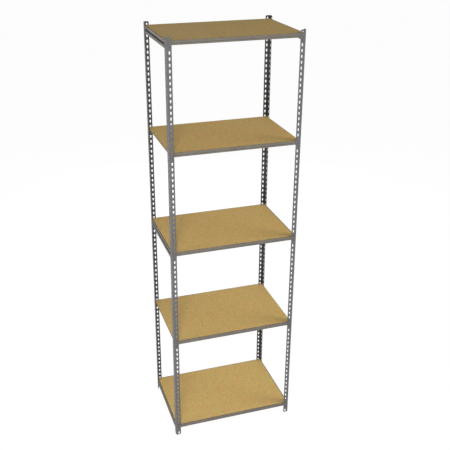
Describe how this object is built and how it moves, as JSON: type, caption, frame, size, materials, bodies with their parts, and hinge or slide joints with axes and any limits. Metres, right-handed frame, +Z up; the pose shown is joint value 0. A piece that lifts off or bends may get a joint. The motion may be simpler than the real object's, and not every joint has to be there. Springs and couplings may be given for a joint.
{
  "type": "boltless steel shelving",
  "caption": "Tall boltless shelving unit: slotted steel angle posts, riveted beams that hook into keyhole slots, and loose particle board decks in the beams.",
  "frame": {"origin": "on the floor, midway between the four posts", "axes": "+Z up along the posts, +X to the right along the wide side, -Y towards the front"},
  "size_m": [0.9346, 0.6306, 3.048],
  "materials": {
    "post_paint": "medium grey baked enamel, semi-gloss, thin dust in the inside corner",
    "beam_paint": "medium grey baked enamel, semi-gloss",
    "particle_board": "raw unfinished particle board, fine mottled chips, matt"
  },
  "bodies": {
    "uprights": {"post_front_left": "post_paint", "post_front_right": "post_paint", "post_back_right": "post_paint", "post_back_left": "post_paint"},
    "shelf_bottom": {"beam_front_bottom": "beam_paint", "beam_back_bottom": "beam_paint", "beam_right_bottom": "beam_paint", "beam_left_bottom": "beam_paint"},
    "board_bottom": {"deck_bottom": "particle_board"},
    "shelf_lower": {"beam_front_lower": "beam_paint", "beam_back_lower": "beam_paint"},
    "board_lower": {"deck_lower": "particle_board"},
    "shelf_middle": {"beam_front_middle": "beam_paint", "beam_back_middle": "beam_paint", "beam_right_middle": "beam_paint", "beam_left_middle": "beam_paint"},
    "board_middle": {"deck_middle": "particle_board"},
    "shelf_upper": {"beam_front_upper": "beam_paint", "beam_back_upper": "beam_paint"},
    "board_upper": {"deck_upper": "particle_board"},
    "shelf_top": {"beam_front_top": "beam_paint", "beam_back_top": "beam_paint", "beam_right_top": "beam_paint", "beam_left_top": "beam_paint"},
    "board_top": {"deck_top": "particle_board"}
  },
  "joints": [
    {"name": "shelf_bottom_unhook", "type": "slide", "parent": "uprights", "child": "shelf_bottom", "axis": [0, 0, 1], "range_m": [0, 0.012]},
    {"name": "deck_bottom_lift_out", "type": "slide", "parent": "shelf_bottom", "child": "board_bottom", "axis": [0, 0, 1], "range_m": [0, 0.04]},
    {"name": "shelf_lower_unhook", "type": "slide", "parent": "uprights", "child": "shelf_lower", "axis": [0, 0, 1], "range_m": [0, 0.012]},
    {"name": "deck_lower_lift_out", "type": "slide", "parent": "shelf_lower", "child": "board_lower", "axis": [0, 0, 1], "range_m": [0, 0.04]},
    {"name": "shelf_middle_unhook", "type": "slide", "parent": "uprights", "child": "shelf_middle", "axis": [0, 0, 1], "range_m": [0, 0.012]},
    {"name": "deck_middle_lift_out", "type": "slide", "parent": "shelf_middle", "child": "board_middle", "axis": [0, 0, 1], "range_m": [0, 0.04]},
    {"name": "shelf_upper_unhook", "type": "slide", "parent": "uprights", "child": "shelf_upper", "axis": [0, 0, 1], "range_m": [0, 0.012]},
    {"name": "deck_upper_lift_out", "type": "slide", "parent": "shelf_upper", "child": "board_upper", "axis": [0, 0, 1], "range_m": [0, 0.04]},
    {"name": "shelf_top_unhook", "type": "slide", "parent": "uprights", "child": "shelf_top", "axis": [0, 0, 1], "range_m": [0, 0.012]},
    {"name": "deck_top_lift_out", "type": "slide", "parent": "shelf_top", "child": "board_top", "axis": [0, 0, 1], "range_m": [0, 0.04]}
  ]
}
